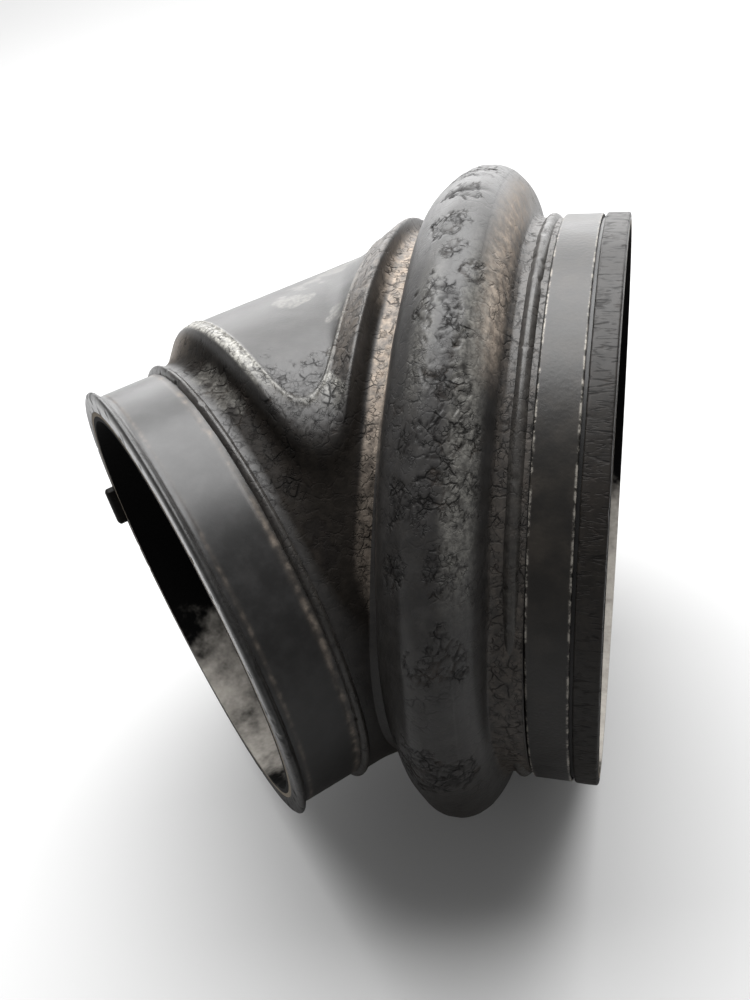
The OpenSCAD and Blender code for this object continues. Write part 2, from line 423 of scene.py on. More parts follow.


# %% [markdown]
# ## Aged rubber
# Old moulded rubber is nearly black, with a faint satin bloom high up and none low down or in its hollows.
# Low down it is painted darker as shade, and in the hollows inside the bend as shade and soot. It could be
# one dark glossy colour with an image of cracks over it, but then it would look the same all over. Here five
# marks, which are kept on the mesh, steer one material: how crazed a place is, how much tan dust lies there,
# how worn and whitish it is, where a crack is open, and where painted shade and soot darken it and keep the
# bloom away. On the arch's crest and left flank the whitish mark is a painted highlight. The cracks, grain
# and dust themselves come from noise, at the size of real ones.

# %% Rubber for the skin
# The first colour below is painted shade low down, and shade with soot in the hollows inside the bend.
shade_and_soot_black = (0.0036, 0.0029, 0.0023)
dust_tans = (0.16, 0.125, 0.10), (0.42, 0.36, 0.30)
# The pale colour below stands for rubbed wear and for painted highlights.
wear_and_highlight_white = (0.34, 0.33, 0.30)
crack_blacks = (0.0035, 0.003, 0.003), (0.03, 0.024, 0.02)


def skin_rubber(
    name, base=(0.0092, 0.009, 0.009), satin=0.33, cells=(0.24, 0.62), spread=1.0, pull=(1, 1, 1), ior=1.34
):
    """cells: coarse and fine cracks per mm. spread: depth of the relief. pull: how cracks are drawn out."""
    material, shader, mark = new_material(name)
    place = place_mm(mark)
    crazed, dust, worn, gap, shade_and_soot = (mark(k) for k in ("crazed", "dust", "worn", "gap", "shade_and_soot"))
    drawn = place * pull
    patch = place.noise(0.05, 3.0, 0.55)
    grain = place.noise(2.6, 3.0, 0.65)
    mottle = place.noise(0.16, 4.0, 0.6)
    # Painted shade: low places, and the hollows inside the bend where soot also lies, turn darker and rougher
    # and lose their bloom.
    shade_and_soot_level = lowness(place).most(shade_and_soot)

    coarse = 1 - drawn.wander(0.35, 2.2).crack_lines(cells[0]).over(0.0, 0.11)
    fine = 1 - drawn.wander(0.9, 0.9).crack_lines(cells[1]).over(0.0, 0.12)
    broken = place.noise(0.22, 2.0).over(0.42, 0.62)
    cracks = (coarse * broken).most(fine * place.noise(0.35, 1.0).over(0.44, 0.66) * 0.7) * crazed

    dark_base = mottle.over(0.35, 0.75).blend(tuple(1.1 * v for v in base), tuple(2.2 * v for v in base))
    # Painted shade and soot darken the base colour.
    dark_base = shade_and_soot_level.blend(dark_base, shade_and_soot_black)
    pale_cover = (dust * (0.3 + 0.9 * place.noise(0.3, 4.0, 0.7).over(0.3, 0.75))).least(1.0)
    coloured = pale_cover.blend(dark_base, place.noise(0.4, 3.0).blend(*dust_tans))
    # Whitish is rubbed wear, and on the arch's crest and left flank it is a painted highlight.
    whitish = (worn * (0.35 + place.noise(0.5, 4.0, 0.7).over(0.36, 0.7))).least(1.0)
    coloured = whitish.blend(coloured, wear_and_highlight_white)
    crack_fill = place.noise(0.12, 2.0).over(0.5, 0.75).blend(*crack_blacks)
    coloured = (cracks * 0.85).most(gap * 0.8).least(1.0).blend(coloured, crack_fill)

    rough = satin + 0.08 * patch + 0.06 * grain * crazed + 0.35 * pale_cover + 0.1 * whitish + 0.25 * cracks
    rough = (rough + 0.30 * shade_and_soot_level).least(1.0)
    relief = grain * 0.05 + place.noise(0.9, 3.0, 0.6) * 0.12 - cracks * 1.0
    bloom = (1 - 0.92 * shade_and_soot_level) * (1 - 0.85 * cracks.most(gap).most(pale_cover).least(1.0))
    finish_with(shader, coloured, rough, relief, 0.7 * spread, ior=ior, bloom=bloom, satin=satin + 0.06)
    print("rubber", name)
    return material


outer_rubber = skin_rubber("outer_rubber")

# %% [markdown]
# ## The elbow's form
# The elbow is a neck round the small axis that runs into a stub round the large one. On the outside of the
# bend lies a raised wedge pad, which starts beside the small cuff and climbs a ramp to a rim beside the
# arch. Its two walls meet in a rounded V. Tubes and boxes could be joined and their edges bevelled, but the
# V runs out on a curved surface, where bevels fail. So the form is one field, negative inside the rubber,
# and soft joins of fields give the mould's fillets.

# %% The elbow as a field
neck_r, stub_r, pad_r, rim_r = 85.0, 101.0, 95.4, 108.3
pad_wall_s, rim_x, ramp_length, pad_corner = 62.0, -79.5, 17.0, 24.6
stub_left_x = -84
far_inside = -50
bend_fillet, rim_fillet, pad_edge_fillet, pad_foot_fillet = 9, 3, 2.2, 3.5
panel_step, mould_groove, groove_width = 0.55, 0.45, 0.55


def soft_or(a, b, k):
    """The join of two fields, with a fillet about k wide."""
    h = np.maximum(k - np.abs(a - b), 0) / k
    return np.minimum(a, b) - h * h * k / 4


def soft_and(a, b, k):
    """What two fields have in common, with its edge rounded over about k."""
    h = np.maximum(k - np.abs(a - b), 0) / k
    return np.maximum(a, b) + h * h * k / 4


def elbow_coordinates(p):
    """Distance along the small axis, distance out of the bend, and radius round each axis."""
    q = p - pivot
    s, u = q @ to_small, q @ outward
    return s, u, np.hypot(u, p[..., 2]), np.hypot(p[..., 1], p[..., 2])


def pad_outline(p, s, wall, rim, corner):
    """Negative between the two walls of the V."""
    flare = 5.5 * ease(p[..., 1], 55, 100)
    return soft_and(s - wall, p[..., 0] - rim - flare, corner)


def pad_edges(p, s):
    """The pad's outline and its panel's, both negative inside."""
    y = p[..., 1]
    outline = pad_outline(p, s, pad_wall_s, rim_x, pad_corner)
    panel = pad_outline(p, s, pad_wall_s - 4.5, rim_x - 9 - 5 * ease(y, 0, 90), 18)
    return outline, panel


def elbow_field(p):
    s, u, r_small, r_main = elbow_coordinates(p)
    x, above = p[..., 0], p[..., 1] > 0
    neck = np.maximum(r_small - neck_r, np.where(above, r_main - stub_r, far_inside))
    stub = np.maximum(r_main - stub_r, stub_left_x - x)
    body = soft_or(neck, stub, bend_fillet)
    ramp = np.minimum(rim_r, rim_r + (x - rim_x) * (rim_r - pad_r) / ramp_length)
    over_small = np.maximum(r_small - pad_r, np.where(above, r_main - rim_r, far_inside))
    top = soft_or(over_small, r_main - ramp, rim_fillet)
    outline, panel = pad_edges(p, s)
    top = top + panel_step * ease(-panel, 0.0, 1.2) - mould_groove * np.exp(-((panel / groove_width) ** 2))
    lean = 0.32 + 0.5 * ease(u, -35, 60) * ease(s, -10, 50)
    wall = (outline + lean * top) / np.sqrt(1 + lean**2)
    pad = soft_and(top, wall, pad_edge_fillet)
    return soft_or(body, pad, pad_foot_fillet)

print("elbow: neck", neck_r, "stub", stub_r, "pad", pad_r, "to", rim_r, "mm in radius")

# %% [markdown]
# ### The net over the elbow
# The field could be turned into a mesh by cutting space into cubes, but that gives a rough net which fits
# nothing beside it. Here the net is a fan of planes that turn about a line just inside the bend, from the
# plane of the stop bead to the foot of the arch, so that its last row is also the arch's first. Along each
# ray of a plane the surface is found by halving.

# %% The net over the elbow
columns = 960
foot_x = arch_left - 2.0
cuff_s = 75.8
nearest_r, furthest_r, halvings = 60.0, 128.0, 17
hinge_y = -(cuff_s + (foot_x - pivot[0]) * -to_small[0]) / -to_small[1]
hinge = np.array([foot_x, hinge_y, 0.0])
bend = math.atan2(-to_small[1], -to_small[0])


def elbow_net(rows, field):
    """Rows of points on a field's surface, one row for each plane of the fan."""
    t = np.linspace(0, 1, rows)
    turn_angle = bend * (1 - t)
    lean_out = np.stack([-np.sin(turn_angle), np.cos(turn_angle), 0 * turn_angle], -1)
    to_main = -hinge_y / np.cos(turn_angle)
    to_neck = -((hinge - pivot) @ outward) / np.cos(bend - turn_angle)
    reach = -3 * np.logaddexp(-to_main / 3, -to_neck / 3)
    centre = hinge + reach[:, None] * lean_out
    angle = np.linspace(0, 2 * math.pi, columns, endpoint=False)
    ray = np.cos(angle)[None, :, None] * lean_out[:, None] + np.sin(angle)[None, :, None] * up
    low = np.full((rows, columns), nearest_r)
    # Towards the inside of the bend a ray ends just before the line that all the planes share.
    inner_limit = reach[:, None] / np.maximum(-np.cos(angle)[None], 1e-6) - 0.8
    high = np.where(np.cos(angle)[None] < -0.05, np.minimum(furthest_r, inner_limit), furthest_r)
    for _ in range(halvings):
        middle = (low + high) / 2
        outside = field(centre[:, None] + middle[..., None] * ray) > 0
        high = np.where(outside, middle, high)
        low = np.where(outside, low, middle)
    return centre[:, None] + ((low + high) / 2)[..., None] * ray


elbow_rows = 190
elbow_part = elbow_net(elbow_rows, elbow_field)
print("elbow net", elbow_part.shape)

# %% [markdown]
# ## The arch and the collar
# The arch is the round bulge that lets the joint give. Its left foot stands in the valley beside the pad,
# and its right foot on the collar, which runs on under the ridge and the steel band. It is a line of
# (x, radius) points turned round the large axis, and a torus could stand in for it. A line shows the two
# feet as they are, the left one steep and the right one leaning on a soft slope.

# %% The arch's line
arch_line = smoothed(even([
    (foot_x, stub_r - 6), (-70.1, 101.5), (-69.7, 105.5), (-69.1, 109.2), (-67.7, 113), (-65.2, 116.8),
    (-61.6, 120.2), (-57.2, 123.1), (-53.2, 124.8), (-49.6, crest_r), (-45.4, 124.6), (-41.8, 122.9),
    (-38.7, 120.1), (-36.4, 117), (-34.9, 113.7), (-33.9, 110.4), (-33.3, 108.2), (-32.6, 106.9),
    (-31.4, 106.3), (-29.6, 106.1), (band_left - 0.5, 106.0)], 0.5), 10)
arch_line[:, 1] = np.minimum(arch_line[:, 1], crest_r - 0.35)
# Where the crown's ring ends and the right flank's starts.
right_zone = (crest_x + arch_right) / 2


def row_at(x, line):
    """The row nearest to this place on the far side of the arch."""
    return int(np.argmin(np.abs(line[:, 0] - x) + 50 * (line[:, 1] < 100)))


line_cuts = [row_at(v, arch_line) for v in (crest_x, right_zone, arch_right)]
for cut, v in zip(line_cuts, (crest_x, right_zone, arch_right)):
    arch_line[cut, 0] = v
first = np.linalg.norm(elbow_part[-1] - np.array([foot_x, 0, 0]), axis=1)
angle = np.linspace(0, 2 * math.pi, columns, endpoint=False)
radius = -soft_or(-arch_line[:, 1, None], -first[None], 3.0)
spoke = np.stack([0 * angle, np.cos(angle), np.sin(angle)], -1)
from_top = np.degrees(np.arctan2(-np.cos(angle), np.sin(angle)))
# From the top round the inside of the bend, the left flank stands up to this much nearer the crest.
most_pushed = 1.9
pushed = most_pushed * ease(from_top, -15, 20) * (1 - ease(from_top, 100, 135))
left_flank = between(arch_line[:, 0], -70.5, -69.8, -62, -54)
arch_x = arch_line[:, 0, None] + pushed[None] * left_flank[:, None]
arch_part = arch_x[..., None] * np.array([1.0, 0, 0]) + radius[..., None] * spoke[None]
smooth_skin = np.concatenate([elbow_part[:-1], arch_part])
arch_start = elbow_rows - 1
cuts = [arch_start + cut for cut in line_cuts]
print("skin net", smooth_skin.shape)

# %% [markdown]
# ## Dents, flakes and dust on the skin
# Rubber ages where it is strained and where the sun reaches it. The arch's crown is crazed worst, in
# clusters. The pad's borders and the neck are finely cracked, pale dust lies in the valley and on the arch's
# right flank, and edges are rubbed white. Two pale streaks on the arch's left flank and crest are painted
# highlights, and the crease inside the bend and part of the pad's V wall are painted darker as shade. This
# could be painted by hand, or left to noise alone. Here each kind of wear is a sum of zones, each told by
# where it lies on the part, with noise only for its edges.

# %% Zones of the skin
s, _, _, r_main = elbow_coordinates(smooth_skin)
x, y, z = (smooth_skin[..., k] for k in range(3))
outline, panel = pad_edges(smooth_skin, s)
round_deg = np.degrees(np.arctan2(-y, z))
on_elbow = x < foot_x + 0.5
on_arch = between(x, -70.5, -66, -34.5, -32.5) * ease(r_main, 106, 110)
border = on_elbow * ease(-outline, -0.5, 0.5) * (1 - ease(-panel, -0.5, 0.5))
on_panel = on_elbow * ease(-panel, 0.0, 1.5)
wall_face = on_elbow * between(outline, 0.3, 3, 9, 14)
valley = on_elbow * ease(x, -76.5, -74) * (1 - ease(r_main, 104, 107))
strip = on_elbow * ease(x, -75.5, -73.5) * (1 - ease(r_main, 104, 107))
left_foot = (x > foot_x - 0.5) * (1 - ease(r_main, 106, 111)) * (x < -60)
right_flank = between(x, -42, -36, -33.5, -32) * between(round_deg, -40, 0, 21, 36)
by_ridge = ease(x, -34, -32.5)
top_side = ease(z, -20, 40)


def share(zone):
    """How much of the net a zone takes up."""
    return round(float(zone.mean()), 3)


print("share of the net on the arch", share(on_arch), "on the panel", share(on_panel))


# %% Patches of wear
def patches(spots, ragged=0.5):
    """1 in a patch and 0 away from it, with ragged edges. A spot is a point and a size."""
    field = np.full(smooth_skin.shape[:-1], -1.0)
    for at, size in spots:
        distance = np.linalg.norm(smooth_skin - np.asarray(at, float), axis=-1) / size
        field = np.maximum(field, 1 - distance)
    ragged_edge = ragged * soft_noise(smooth_skin, 5, 7)
    return ease(field + ragged_edge + 0.3 * soft_noise(smooth_skin, 2.2, 8), -0.05, 0.25)


def arch_spot(x, deg, size):
    """A spot on the arch, at degrees from the top towards the inside of the bend."""
    r = np.interp(x, arch_line[:, 0], arch_line[:, 1])
    return (x, -r * math.sin(math.radians(deg)), r * math.cos(math.radians(deg))), size


def neck_spots(along, size, degrees):
    """Spots round the neck, at degrees from the outside of the bend over the top."""
    spots = []
    for t in (math.radians(d) for d in degrees):
        spoke = math.cos(t) * outward + math.sin(t) * up
        spots.append((pivot + along * to_small + neck_r * spoke, size))
    return spots


flaked = patches([arch_spot(*spot) for spot in (
    (-53, -14, 9), (-52, -3, 7), (-54, 8, 7), (-50, 13, 5), (-52, 22, 8), (-47, 27, 6), (-42, 17, 5),
    (-44, 34, 8), (-47, 42, 7), (-40, 41, 7), (-43, 49, 10), (-38, 48, 5), (-43, 59, 8), (-57, 43, 5),
    (-56, 51, 7), (-58, 60, 5), (-44, 72, 9), (-52, 95, 14), (-44, 130, 12), (-50, 170, 16),
    (-48, 215, 14), (-52, 250, 16), (-46, 290, 15), (-52, 325, 13))])
cluster = ease(soft_noise(smooth_skin, 26, 5) + 0.45 * soft_noise(smooth_skin, 9, 6), 0.15, 0.6)
cluster = np.maximum(flaked, 0.35 * cluster) * on_arch
apex_patch = patches([((-95, -58, 90), 16)])
neck_patch = patches(neck_spots(69, 9, (80, 92, 100, 108, 116, 122)))
pale_neck = ease(s, 65, 67) * patches(neck_spots(70, 5.5, (86, 92, 98)))
leaf = patches(neck_spots(68, 4, (134, 137, 140)), 0.2)
scuffs = patches([
    ((-113, -9, 93), 5), ((-113, 6, 91), 6), ((-107, 19, 89), 6), ((-99, 26, 89), 5), ((-90, -18, 95), 5),
    ((-85, -42, 93), 4), ((-122, 24, 85), 6)], 0.9)
print("share of the skin that flakes", share(cluster > 0.5))

# %% How crazed, dusty and worn, with painted highlights, painted shade and soot
crazed = np.clip(
    0.04 + 0.10 * on_arch + 1.0 * cluster + 0.6 * border + 0.6 * valley + 0.7 * apex_patch
    + 0.6 * neck_patch + 0.12 * top_side * on_elbow - 0.15 * on_panel * (1 - apex_patch), 0, 1)
crazed = np.clip(crazed + 0.75 * by_ridge + 0.8 * wall_face * ease(y, -30, 0), 0, 1)

streaks = ease(soft_noise(smooth_skin * (1, 0.12, 0.12), 3.0, 91), -0.5, 0.7)
dust = 0.02 + strip * (1.6 * ease(y, -78, -40) * ease(z, -50, 0) + 0.25)
dust = dust + on_arch * right_flank * (0.7 + 0.5 * streaks) + 0.6 * wall_face * ease(y, -30, -5)
dust = dust + 0.22 * border * (s < 40) * ease(y, -66, -30)
dust = np.clip(dust + 0.10 * by_ridge + 1.2 * left_foot * ease(y, -78, -40) * ease(z, -50, 0), 0, 1)

small_side_border = border * (s > 40)
mould_line = on_elbow * np.exp(-((panel / groove_width) ** 2)) * ease(-y, -20, 20)
# Painted highlights: two pale streaks on the arch's left flank and crest, carried by the wear mark.
painted_highlight_left = on_arch * between(x, -60, -56, -53, -49) * between(round_deg, 8, 22, 30, 42)
painted_highlight_crest = on_arch * between(x, -46.5, -42, -38, -35) * between(round_deg, 0, 25, 52, 70)
worn = 0.2 * on_panel * scuffs + 0.75 * small_side_border * top_side * ease(y, -66, -42)
worn = worn + 0.3 * mould_line + 0.13 * pale_neck + (0.14 * painted_highlight_left + 0.24 * painted_highlight_crest)
worn = np.clip(worn, 0, 1)

# Painted shade: the crease inside the bend is darkened as shade and soot, and the part of the pad's V wall
# towards the inside of the bend as shadow.
inside_bend = ease(-y, 50, 85) * (1 - ease(s, 60, 76))
wall_shade = wall_face * (1 - ease(y, -24, -2))
shade_and_soot = on_elbow * np.clip(inside_bend + wall_shade, 0, 1) * (1 - valley * ease(y, -80, -50))
print("crazed", share(crazed), "dust", share(dust), "worn", share(worn))

# %% [markdown]
# ### Lifted plates and open cracks
# A flaking patch is a mosaic of small plates, each tilted its own way, with open cracks between them. Bump
# alone would vanish at the outline and in the exported mesh, so the plates are moved in the net itself.

# %% Relief and the finished skin
bent = smooth_skin + 1.2 * np.stack([soft_noise(smooth_skin, 4, seed) for seed in (21, 22, 23)], -1)
edge, own, tilt = plates(bent, 4.4, 31)
small_edge, small_own, small_tilt = plates(bent, 3.1, 47)
groove = 1 - ease(edge, 0.0, 0.4)
small_groove = 1 - ease(small_edge, 0.0, 0.35)
flaking = ease(cluster, 0.25, 0.6)
fine_zone = np.clip(0.6 * border + 0.5 * neck_patch + 0.8 * apex_patch + 0.5 * valley, 0, 1)
gash = np.exp(-((((x + 52) / 6.0) ** 2) + (((round_deg + 3) * 2.1 / 1.3) ** 2)))

relief = 0.16 * soft_noise(smooth_skin, 22, 1) + 0.07 * soft_noise(smooth_skin, 6, 2)
relief = relief + flaking * ((own - 0.7) * 0.10 + 0.06 * tilt - 0.22 * groove)
relief = relief + fine_zone * ((small_own - 0.5) * 0.07 + 0.04 * small_tilt - 0.10 * small_groove)
relief = relief - 0.7 * gash - 0.15 * leaf
# The first rows meet the stop bead, which is plain.
relief = relief * ease(np.arange(len(smooth_skin))[:, None], 0, 6)
gap = 0.8 * flaking * groove + 0.4 * fine_zone * (1 - ease(small_edge, 0.0, 0.3)) + gash + 0.5 * leaf
gap = np.clip(gap, 0, 1)

on_axis = np.where(s[..., None] > 0, pivot + s[..., None] * to_small, 0 * pivot)
skin_normals = outward_facing(smooth_skin, smooth_skin - on_axis)
skin = smooth_skin + relief[..., None] * skin_normals
# No plate may stand higher than the solid's crest.
over = np.hypot(skin[..., 1], skin[..., 2]) - (crest_r - 0.05)
skin = skin - np.where((over > 0) & (x > foot_x), over, 0)[..., None] * skin_normals
skin_normals = outward_facing(skin, skin_normals)
marks = {"crazed": crazed, "dust": dust, "worn": worn, "gap": gap, "shade_and_soot": shade_and_soot}
print("relief from", round(float(relief.min()), 2), "to", round(float(relief.max()), 2), "mm")

# %% [markdown]
# ### The skin of the elbow
# On the real part the cover is one sheet, a few millimetres thick. Each piece of it here is a closed solid,
# with a hidden inner side just outside the cloth. The elbow's is cut along the plane of the bend into an
# upper and a lower half, so that neither file grows too heavy. The halves share their edge points.


# %% The elbow's two halves
def columns_of(net, half):
    """All of a net's columns or, with its first one repeated at the end, those of one half."""
    if half is None:
        return net
    return np.concatenate([net, net[:, :1]], 1)[:, half]


def skin_piece(name, top, bottom, hidden, replaces, body=None, half=None):
    """Rows top to bottom of the skin, closed along a hidden inner surface."""
    rows = slice(top, bottom + 1)
    made = piece(
        name,
        np.concatenate([columns_of(skin[rows], half), columns_of(hidden, half)[::-1]]),
        outer_rubber,
        body,
        columns_of(skin_normals[rows], half),
        half is None,
        {mark: columns_of(value[rows], half) for mark, value in marks.items()},
    )
    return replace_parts(made, *replaces)


def main_ring(rows):
    return turn_main(rows, columns)


def cover_inside(p):
    """The hidden side of the elbow's cover: the neck and the stub alone, just outside the cloth."""
    _, _, r_small, r_main = elbow_coordinates(p)
    stub_side = r_main - stub_r + 2.3
    neck = np.maximum(r_small - neck_r + 4.2, np.where(p[..., 1] > 0, stub_side, far_inside))
    return soft_or(neck, np.maximum(stub_side, stub_left_x - p[..., 0]), bend_fillet)


inside_elbow = elbow_net(24, cover_inside)
half_way = columns // 2
upper, lower = slice(0, half_way + 1), slice(half_way, columns + 1)
skin_piece("elbow_skin_upper", 0, arch_start, inside_elbow, ["elbow_cover", "wedge_pad"], "elbow", upper)
skin_piece("elbow_skin_lower", 0, arch_start, inside_elbow, ["pad_panel"], "elbow", lower)

# %% [markdown]
# ### The arch in three zones
# The real arch is one bulge that bends all over. Here its skin, cloth and inner tube are each cut into
# three rings, one for each zone, and neighbours share their edge, so no gap opens.

# %% The arch's rings
spring_r = 107.2  # the middle of the arch's round section
layer_inner = {"liner": (12.2, 14.0), "plies": (14.0, 15.6), "cover": (15.6, 18.2)}
ring_columns = 240


def arc(r, x_from, x_to, foot, count=20):
    """A line over the arch at one distance from its middle, between two planes."""
    lo = math.acos(np.clip((x_from - crest_x) / r, -1, 1))
    hi = math.acos(np.clip((x_to - crest_x) / r, -1, 1))
    a = np.linspace(lo, hi, count)
    line = np.stack([crest_x + r * np.cos(a), spring_r + r * np.sin(a)], 1)
    if x_from < crest_x - r + 0.01:
        line = np.concatenate([[(crest_x - r, foot)], line])
    if x_to > crest_x + r - 0.01:
        line = np.concatenate([line, [(crest_x + r, foot)]])
    return line


zones = [
    ("left", arch_left, crest_x, "elbow", "crown", (arch_start, cuts[0]), "left_flank"),
    ("crown", crest_x, right_zone, "crown", "right_flank", (cuts[0], cuts[1]), "crown"),
    ("right", right_zone, arch_right, "right_flank", "collar", (cuts[1], cuts[2]), "right_flank"),
]


def foot_radius(name, layer):
    """How far in a ring's feet reach. The left cover's lie deeper, hidden below the valley's skin."""
    if name == "right":
        return 107.0
    return 100.5 if layer == "cover" else 104.0


def arch_ring(layer, zone):
    """One layer of the arch in one zone."""
    name, x_from, x_to, a, b, rows, nodes = zone
    inner_r, outer_r = layer_inner[layer]
    feet = foot_radius(name, layer)
    inner = arc(inner_r, max(x_from, crest_x - inner_r), min(x_to, crest_x + inner_r), feet)
    if layer == "cover":
        made = skin_piece(name + "_arch_skin", rows[0], rows[1], main_ring(inner), [nodes + "_cover"])
    else:
        outer = arc(outer_r, max(x_from, crest_x - outer_r), min(x_to, crest_x + outer_r), feet)
        ring = turn_main(np.concatenate([outer, inner[::-1]]), ring_columns)
        made = piece(f"{name}_arch_{layer}", ring, inner_tube if layer == "liner" else cloth)
        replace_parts(made, f"{nodes}_{layer}")
    x_from * MM
    x_to * MM
    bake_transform(made)


print("arch zones", [zone[0] for zone in zones])

# %% [markdown]
# ## Inner tube, cloth and steel
# The inner tube is dull black rubber, paler low in the bore, where dust has settled and where light coming
# in at the mouths is painted in. The cloth shows only as a thin edge, and the two wire body rings are buried.
# Away from the arch the solids already have these shapes, so they only get materials. The pale part could be
# a plain gradient, but it lies in clouds: noise breaks it.

# %% Materials inside
def inner_rubber(name):
    """Dull black, with pale clouds low in the bore: dust, and painted light from the mouths."""
    material, shader, _ = new_material(name)
    place = solid_place_mm(material.node_tree)
    # Painted light and dust: the bore turns pale in clouds low down and stays black high up.
    low = 1 - place.dot((0, 0, 1)).over(-84, -40)
    light_and_dust_cloud = (low * 0.75 + (place.noise(0.05, 4.0, 0.65) - 0.5) * 1.3).over(0.25, 0.85)
    pale_cover = (low.over(0.0, 0.3) * light_and_dust_cloud * (0.75 + 0.4 * place.noise(0.5, 3.0))).least(1.0)
    colour = pale_cover.blend((0.002, 0.002, 0.002), (0.40, 0.375, 0.34))
    finish_with(shader, colour, 0.75 + 0.2 * pale_cover, place.noise(0.6, 3.0), bump_mm=0.2, ior=1.12)
    return material


def ply_cloth(name):
    material, shader, _ = new_material(name)
    place = solid_place_mm(material.node_tree)
    colour = place.noise(1.2, 3.0).blend((0.05, 0.042, 0.032), (0.22, 0.18, 0.13))
    finish_with(shader, colour, 0.85, place.noise(2.0, 2.0), bump_mm=0.2)
    return material


def wire_steel(name):
    material, shader, _ = new_material(name)
    place = solid_place_mm(material.node_tree)
    finish_with(shader, (0.42, 0.41, 0.39), 0.32 + 0.15 * place.noise(0.8), metallic=1.0)
    return material


inner_tube, cloth, wire = inner_rubber("inner_tube"), ply_cloth("ply_cloth"), wire_steel("wire_steel")
for node, part in frame["nodes"].items():
    look = inner_tube if node.endswith("liner") else cloth if node.endswith("plies") else wire
    if node.endswith(("liner", "plies", "body_ring")):
        part.data.materials.clear()
        part.data.materials.append(look)
        print(node, look.name)

for zone in zones:
    for layer in ("liner", "plies", "cover"):
        arch_ring(layer, zone)

# %% [markdown]
# ## The collar
# The large cuff is the end of the same skin, which runs flat under the ridge and the steel band to the
# mouth. It takes the skin's last rows and is closed along a hidden back, so the crazing on the slope beside
# the ridge goes on without a seam.

# %% Collar
band_seat_r, mouth_r, collar_back_r = 105.7, 105.6, 105.0
under_band = [(band_left - 0.3, 105.8), (band_left, band_seat_r), (band_right, band_seat_r)]
under_band += [(-8.3, mouth_r), (0, mouth_r)]
back = [(at, collar_back_r) for at in (0, -8, -20, -30, arch_right + 0.1)] + [(arch_right, 105.5)]
collar_back = main_ring(under_band + back)
skin_piece("collar_skin", cuts[2], len(skin) - 1, collar_back[::-1], ["collar_cover"], "collar")

# %% [markdown]
# ## The ridge, the beads and the end wrap
# These are plain rings that the maker laid on the cuffs by hand: a ridge that keeps the band in place, a
# stop bead for the small clamp, and a wrap at the large mouth. A turned section gives each its true edge,
# and it is then dented and nicked, because such rubber is never quite round. The wrap
# is darker than the rest, and its cracks run along the axis.


# %% Rings that stand on the skin
def ring_piece(name, profile, turner, material, body, replaces, shape, marks, count=720):
    """A closed ring from its section. shape(net) says how far out each point moves, marks(net) its marks."""
    net = turner(profile, count)
    looped = np.concatenate([net[-1:], net, net[:1]])
    n = outward_facing(looped, looped - net.mean(0)[None])[1:-1]
    net = net + shape(net)[..., None] * n
    made = piece(name, net, material, body, marks=marks(net))
    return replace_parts(made, *replaces)


def rounded(x0, x1, r0, r1, corner, step=0.3):
    """A section with its two outer corners rounded; x along the axis, r out from it."""
    a = np.linspace(0, math.pi / 2, 5)
    left = np.stack([x0 + corner - corner * np.cos(a), r1 - corner + corner * np.sin(a)], 1)
    right = np.stack([x1 - corner + corner * np.sin(a), r1 - corner + corner * np.cos(a)], 1)
    flat = np.linspace(x0 + corner, x1 - corner, max(2, int((x1 - x0 - 2 * corner) / step)))[1:-1]
    top = np.stack([flat, np.full(len(flat), r1)], 1)
    return np.concatenate([[(x0, r0)], left, top, right, [(x1, r0)]])


def nicked(depth, size, seed):
    """Small dents and short nicks across a bead."""

    def shape(net):
        waves = 0.10 * soft_noise(net, 14, seed) + 0.06 * soft_noise(net, 4, seed + 1)
        nick = ease(soft_noise(net, size, seed + 2), 0.45, 0.8)
        return waves - depth * nick

    return shape


def same_all_over(**values):
    """Marks that don't vary over a piece."""

    def marks_of(net):
        return {mark: np.full(net.shape[:2], value) for mark, value in values.items()}

    return marks_of


bead_rubber = skin_rubber("bead_rubber", (0.007, 0.0066, 0.0066), 0.28, (0.3, 0.9), 0.6)
wrap_rubber = skin_rubber("wrap_rubber", (0.0032, 0.0026, 0.0022), 0.38, (0.35, 0.8), 0.7, (0.15, 1, 1), 1.27)
ridge_half = [(2.6, 105.2), (2.5, 106.0), (2.0, 106.5), (1.5, 107.2), (0.8, 107.75)]
ridge = [(ridge_x - half, r) for half, r in ridge_half] + [(ridge_x, 107.95)]
ridge += [(ridge_x + half, r) for half, r in ridge_half[::-1]]
ring_piece(
    "ridge_ring", smoothed(even(ridge, 0.35), 3), turn_main, bead_rubber, "collar",
    ["ridge_bead"], nicked(0.35, 3.0, 41), same_all_over(crazed=0.35, dust=0.04, worn=0.04))
ring_piece(
    "end_wrap_skin", rounded(-8.3, -0.18, 104.95, 107.5, 0.8), turn_main, wrap_rubber, "collar",
    ["large_end_wrap"], nicked(0.2, 4.0, 51), same_all_over(crazed=0.7, dust=0.02, worn=0.0))

# %% [markdown]
# ## The steel band
# The band is steel strip, painted black over its orange-peel skin, and its two edges are chipped to bright
# metal. Bevelled edges with one paint would look new. Here a mark along both edges and some noise say where
# the paint is gone, and there the surface turns to metal. Low down the paint is darkened as painted shade.

# %% Band
paint_browns = (0.007, 0.0062, 0.0054), (0.019, 0.016, 0.013)
# The next colour is painted shade for the band's lower side.
band_shade_black = (0.0045, 0.0035, 0.0026)
bare_steel = (0.30, 0.28, 0.25)


